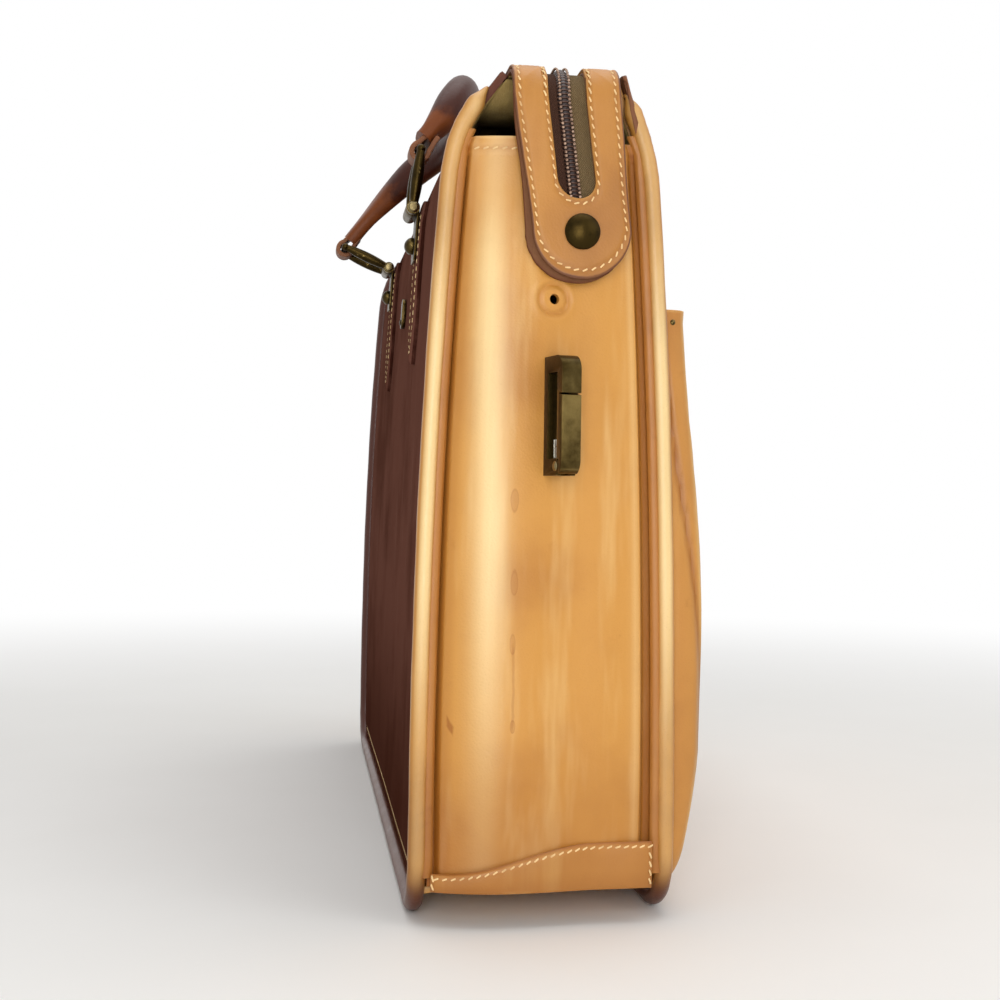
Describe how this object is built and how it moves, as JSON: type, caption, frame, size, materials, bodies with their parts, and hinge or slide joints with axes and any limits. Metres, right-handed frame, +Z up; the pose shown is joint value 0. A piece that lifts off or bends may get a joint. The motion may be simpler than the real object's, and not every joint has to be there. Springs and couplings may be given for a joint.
{
  "type": "briefcase",
  "caption": "Stiff leather zip-top briefcase with rolled piping, gusset ends, hinged link handles, folding end tabs, sprung strap brackets and an open outside back pocket.",
  "frame": {"origin": "on the ground, under the middle of the case's length and of the distance between its two bottom pipings", "axes": "+X along the case to the near end, -Y out of the front face, +Z up"},
  "size_m": [0.4466, 0.1407, 0.3499],
  "materials": {
    "front_leather": "glossy, darkened and worn in the shade",
    "tan_leather": "satin, vegetable tanned, worn pale on the folds",
    "piping_leather": "burnished, rubbed through at the tips",
    "grip_leather": "polished by the hand, creased",
    "suede": "napped, dull",
    "zip_tape": "woven, dull",
    "zip_coil": "dull nylon coil",
    "antique_brass": "aged, rubbed bright on edges",
    "spring_steel": "plain wire",
    "board": "pressed fibre board"
  },
  "bodies": {
    "case": {"front_panel": "front_leather", "back_panel": "tan_leather", "near_gusset": "tan_leather", "far_gusset": "tan_leather", "base_panel": "tan_leather", "base_board": "board", "near_end_flap": "tan_leather", "far_end_flap": "tan_leather", "front_piping": "piping_leather", "back_piping": "piping_leather", "front_lining": "suede", "back_lining": "suede", "front_zip_band": "tan_leather", "back_zip_band": "tan_leather", "zip_tape": "zip_tape", "zip_teeth": "zip_coil", "near_tab_fold": "tan_leather", "far_tab_fold": "tan_leather", "far_snap_stud": "antique_brass", "near_strap_bracket": "antique_brass", "far_strap_bracket": "antique_brass", "gate_pins": "antique_brass", "near_gate_spring": "spring_steel", "far_gate_spring": "spring_steel", "near_backing_plate": "antique_brass", "far_backing_plate": "antique_brass", "bracket_screws": "antique_brass", "front_near_anchor": "front_leather", "front_far_anchor": "front_leather", "back_near_anchor": "tan_leather", "back_far_anchor": "tan_leather", "front_near_clip": "antique_brass", "front_far_clip": "antique_brass", "back_near_clip": "antique_brass", "back_far_clip": "antique_brass", "front_link_pins": "antique_brass", "back_link_pins": "antique_brass", "clip_rivets": "antique_brass", "back_pocket": "tan_leather", "front_plate": "antique_brass"},
    "slider": {"zip_slider": "antique_brass"},
    "pull": {"zip_pull": "antique_brass"},
    "near_tab": {"near_end_tab": "tan_leather", "near_tab_zip": "zip_tape", "near_snap_cap": "antique_brass", "near_snap_socket": "antique_brass"},
    "far_tab": {"far_end_tab": "tan_leather", "far_tab_zip": "zip_tape", "far_snap_cap": "antique_brass", "far_snap_socket": "antique_brass"},
    "near_gate_lever": {"near_gate": "antique_brass"},
    "far_gate_lever": {"far_gate": "antique_brass"},
    "front_handle": {"front_near_link": "antique_brass", "front_handle_grip": "grip_leather"},
    "front_far_ring": {"front_far_link": "antique_brass"},
    "back_handle": {"back_near_link": "antique_brass", "back_far_link": "antique_brass", "back_handle_grip": "grip_leather"}
  },
  "joints": [
    {"name": "zip_slide", "type": "slide", "parent": "case", "child": "slider", "axis": [1, 0, 0], "range_m": [0, 0.364]},
    {"name": "pull_swing", "type": "hinge", "parent": "slider", "child": "pull", "pos_m": [-0.182, 0.0034, 0.3157], "axis": [0, -1, 0], "range_deg": [0, 170]},
    {"name": "near_tab_lift", "type": "hinge", "parent": "case", "child": "near_tab", "pos_m": [0.20593, 0.0034, 0.30893], "axis": [0, -1, 0], "range_deg": [0, 120], "deforming": ["near_tab_fold"]},
    {"name": "far_tab_lift", "type": "hinge", "parent": "case", "child": "far_tab", "pos_m": [-0.20593, 0.0034, 0.30893], "axis": [0, 1, 0], "range_deg": [0, 120], "deforming": ["far_tab_fold"]},
    {"name": "near_gate_swing", "type": "hinge", "parent": "case", "child": "near_gate_lever", "pos_m": [0.21669, 0.00267, 0.16655], "axis": [0.22, -0.9755, 0], "range_deg": [0, 16], "stiffness_Nm_per_rad": 0.03, "springref_deg": -11.46, "deforming": ["near_gate_spring"]},
    {"name": "far_gate_swing", "type": "hinge", "parent": "case", "child": "far_gate_lever", "pos_m": [-0.21669, 0.00267, 0.16655], "axis": [0.22, 0.9755, 0], "range_deg": [0, 16], "stiffness_Nm_per_rad": 0.03, "springref_deg": -11.46, "deforming": ["far_gate_spring"]},
    {"name": "front_handle_swing", "type": "hinge", "parent": "case", "child": "front_handle", "pos_m": [0.084, -0.0426, 0.28013], "axis": [1, 0, 0], "range_deg": [0, 178], "deforming": ["front_handle_grip"]},
    {"name": "front_far_swing", "type": "hinge", "parent": "front_handle", "child": "front_far_ring", "pos_m": [-0.084, -0.0426, 0.28013], "axis": [1, 0, 0], "range_deg": [-72, 0]},
    {"name": "back_handle_swing", "type": "hinge", "parent": "case", "child": "back_handle", "pos_m": [0.084, 0.04338, 0.28013], "axis": [1, 0, 0], "range_deg": [0, 160]}
  ],
  "couplings": [
    {"joint": "front_far_swing", "follows": "front_handle_swing", "ratio": -0.404}
  ]
}
